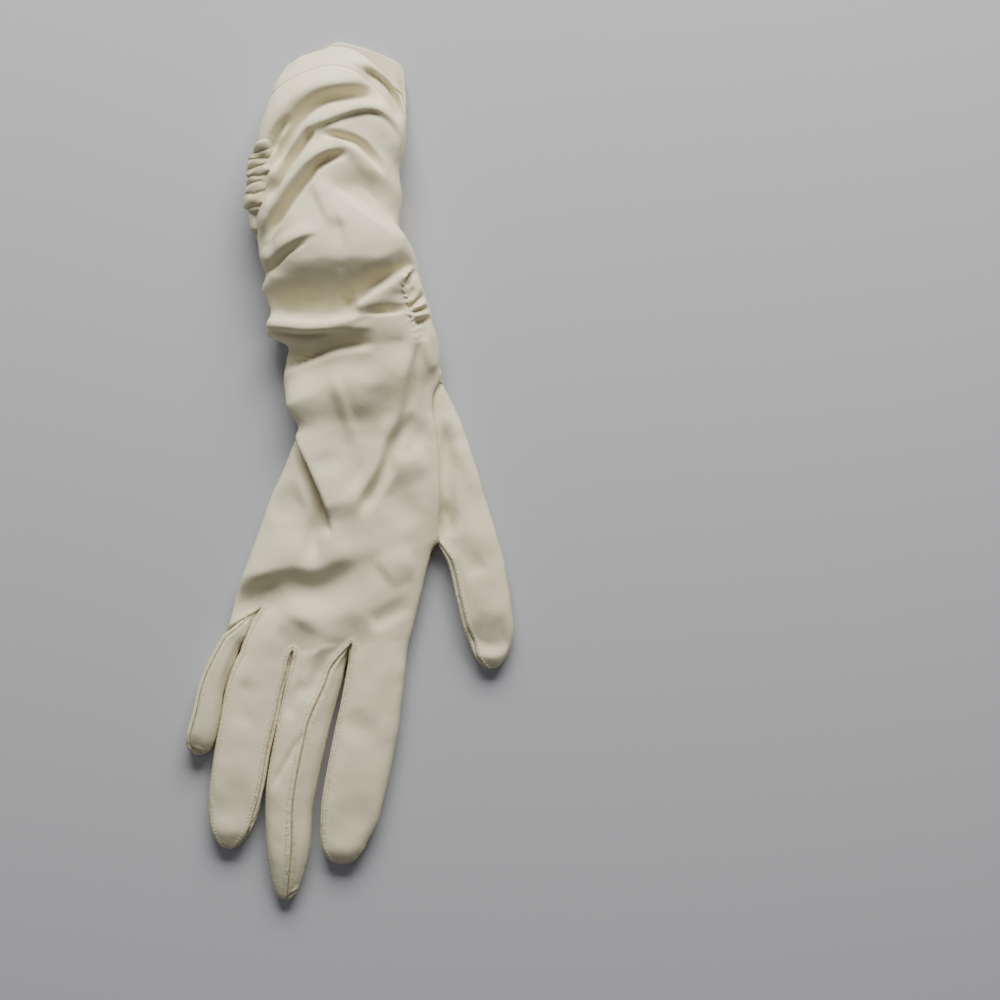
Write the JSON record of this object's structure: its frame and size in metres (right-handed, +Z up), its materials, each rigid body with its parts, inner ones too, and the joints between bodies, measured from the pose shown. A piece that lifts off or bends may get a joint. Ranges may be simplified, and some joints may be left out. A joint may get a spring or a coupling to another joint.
{
  "type": "ruched dress glove",
  "caption": "Long knitted dress glove lying on its palm, its sleeve ruched by two gathered strips, with strips let in between the fingers and a set-in thumb.",
  "frame": {"origin": "on the surface that the glove rests on, under the middle of its outline", "axes": "+X across the hand towards the thumb, +Y from the fingertips to the arm opening, +Z up"},
  "size_m": [0.1226, 0.324, 0.0299],
  "materials": {
    "jersey": "matte ivory knitted jersey with fine lengthwise ribs",
    "hem_jersey": "matte ivory knitted jersey, turned in and stitched",
    "fourchette_jersey": "matte ivory knitted jersey, slightly shaded",
    "shirred_jersey": "matte ivory knitted jersey gathered into close pleats"
  },
  "bodies": {
    "root": {"opening_hem": "hem_jersey", "trank_back": "jersey", "trank_palm": "jersey", "thumb": "jersey", "fourchette_ring_little": "fourchette_jersey", "fourchette_middle_ring": "fourchette_jersey", "fourchette_index_middle": "fourchette_jersey", "shirring_outer": "shirred_jersey", "shirring_inner": "shirred_jersey"}
  },
  "joints": []
}
